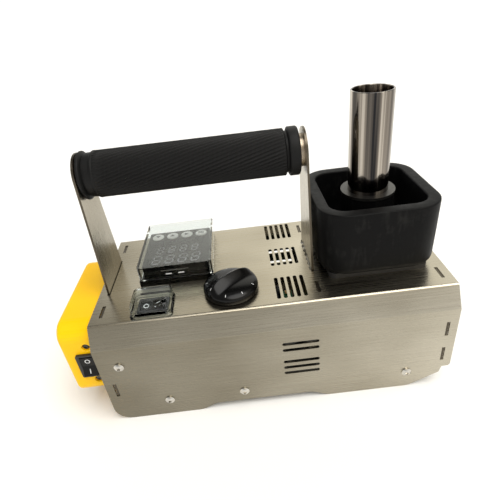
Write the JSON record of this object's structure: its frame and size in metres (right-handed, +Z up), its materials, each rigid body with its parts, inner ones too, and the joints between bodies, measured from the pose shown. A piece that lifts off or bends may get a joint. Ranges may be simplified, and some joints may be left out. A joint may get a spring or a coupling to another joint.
{
  "type": "edge banding machine",
  "caption": "Hand-held hot-melt edge bander: folded steel body, bar grip, heated glue pot with turning applicator sleeve, temperature controller, speed knob and switches.",
  "frame": {"origin": "on the floor, under the centre of the machine's outline", "axes": "+X along the body towards the glue pot, +Y towards the operator's side, +Z up"},
  "size_m": [0.275, 0.1336, 0.2045],
  "materials": {
    "stainless": "brushed, fingerprint-free",
    "polished_steel": "polished",
    "bright_screw": "nickel plated",
    "plain_steel": "turned",
    "grip_rubber": "matt",
    "yellow_abs": "satin moulded",
    "black_plastic": "fine texture",
    "gloss_black": "glossy",
    "key_white": "glossy",
    "clear_plastic": "clear",
    "coated_aluminium": "non-stick coating, satin",
    "dark_steel": "turned",
    "bronze": "turned",
    "aluminium": "machined",
    "motor_steel": "zinc plated",
    "circuit_board": "solder mask",
    "white_plastic": "moulded"
  },
  "bodies": {
    "machine": {"top_cover": "stainless", "base_plate": "stainless", "left_end_plate": "stainless", "partition_plate": "stainless", "right_end_plate": "stainless", "handle_tube": "plain_steel", "rubber_grip": "grip_rubber", "handle_bolts": "bright_screw", "cover_screws": "bright_screw", "end_housing": "yellow_abs", "housing_screws": "dark_steel", "cable_gland": "black_plastic", "gland_nut": "black_plastic", "main_switch_body": "black_plastic", "work_switch_body": "black_plastic", "switch_boot": "clear_plastic", "controller_case": "black_plastic", "controller_bezel": "gloss_black", "display_window": "gloss_black", "controller_clamp": "black_plastic", "cover_frame": "clear_plastic", "cover_hinge_pin": "plain_steel", "speed_potentiometer": "black_plastic", "potentiometer_nut": "bright_screw", "glue_pot": "coated_aluminium", "heater_block": "coated_aluminium", "column_ring": "dark_steel", "pot_insulator": "black_plastic", "pot_screws": "bright_screw", "heater_rods": "plain_steel", "temperature_sensor": "plain_steel", "thermal_cutout": "black_plastic", "bearing_housing": "aluminium", "spindle_bushes": "bronze", "drive_bracket": "plain_steel", "inner_screws": "bright_screw", "gear_motor": "motor_steel", "fan_frame": "black_plastic", "fan_bracket": "plain_steel", "control_board": "circuit_board", "board_components": "black_plastic", "board_standoffs": "bronze", "solid_state_relay": "white_plastic", "terminal_block": "white_plastic"},
    "main_rocker": {"main_switch_rocker": "gloss_black"},
    "work_rocker": {"work_switch_rocker": "gloss_black"},
    "down_key": {"key_down": "key_white"},
    "up_key": {"key_up": "key_white"},
    "shift_key": {"key_shift": "key_white"},
    "set_key": {"key_set": "key_white"},
    "lid": {"controller_cover": "clear_plastic"},
    "knob": {"speed_knob": "gloss_black", "potentiometer_shaft": "plain_steel"},
    "applicator": {"applicator_sleeve": "polished_steel", "sleeve_hub": "bronze", "spindle": "plain_steel", "spindle_gear": "plain_steel"},
    "motor_output": {"motor_shaft": "plain_steel", "motor_pinion": "bronze"},
    "fan": {"fan_rotor": "black_plastic"}
  },
  "joints": [
    {"name": "main_rocker_tilt", "type": "hinge", "parent": "machine", "child": "main_rocker", "pos_m": [-0.1212, -0.0538, 0.0505], "axis": [1, 0, 0], "range_deg": [0, 16]},
    {"name": "work_rocker_tilt", "type": "hinge", "parent": "machine", "child": "work_rocker", "pos_m": [-0.0695, -0.043, 0.0843], "axis": [0, 1, 0], "range_deg": [0, 16]},
    {"name": "speed_knob_turn", "type": "hinge", "parent": "machine", "child": "knob", "pos_m": [-0.015, -0.0325, 0.09], "axis": [0, 0, 1], "range_deg": [-140, 140]},
    {"name": "lid_hinge", "type": "hinge", "parent": "machine", "child": "lid", "pos_m": [-0.055, 0.0489, 0.0881], "axis": [-1, 0, 0], "range_deg": [0, 90]},
    {"name": "down_key_press", "type": "slide", "parent": "machine", "child": "down_key", "axis": [0, 0, -1], "range_m": [0, 0.0004], "stiffness_N_per_m": 900},
    {"name": "up_key_press", "type": "slide", "parent": "machine", "child": "up_key", "axis": [0, 0, -1], "range_m": [0, 0.0004], "stiffness_N_per_m": 900},
    {"name": "shift_key_press", "type": "slide", "parent": "machine", "child": "shift_key", "axis": [0, 0, -1], "range_m": [0, 0.0004], "stiffness_N_per_m": 900},
    {"name": "set_key_press", "type": "slide", "parent": "machine", "child": "set_key", "axis": [0, 0, -1], "range_m": [0, 0.0004], "stiffness_N_per_m": 900},
    {"name": "applicator_spin", "type": "hinge", "parent": "machine", "child": "applicator", "pos_m": [0.0905, 0, 0.06], "axis": [0, 0, 1], "continuous": true},
    {"name": "motor_output_spin", "type": "hinge", "parent": "machine", "child": "motor_output", "pos_m": [0.0905, -0.03012, 0.06], "axis": [0, 0, 1], "continuous": true},
    {"name": "fan_spin", "type": "hinge", "parent": "machine", "child": "fan", "pos_m": [0.0287, -0.0584, 0.0427], "axis": [0, 1, 0], "continuous": true}
  ],
  "couplings": [
    {"joint": "motor_output_spin", "follows": "applicator_spin", "ratio": -2}
  ]
}
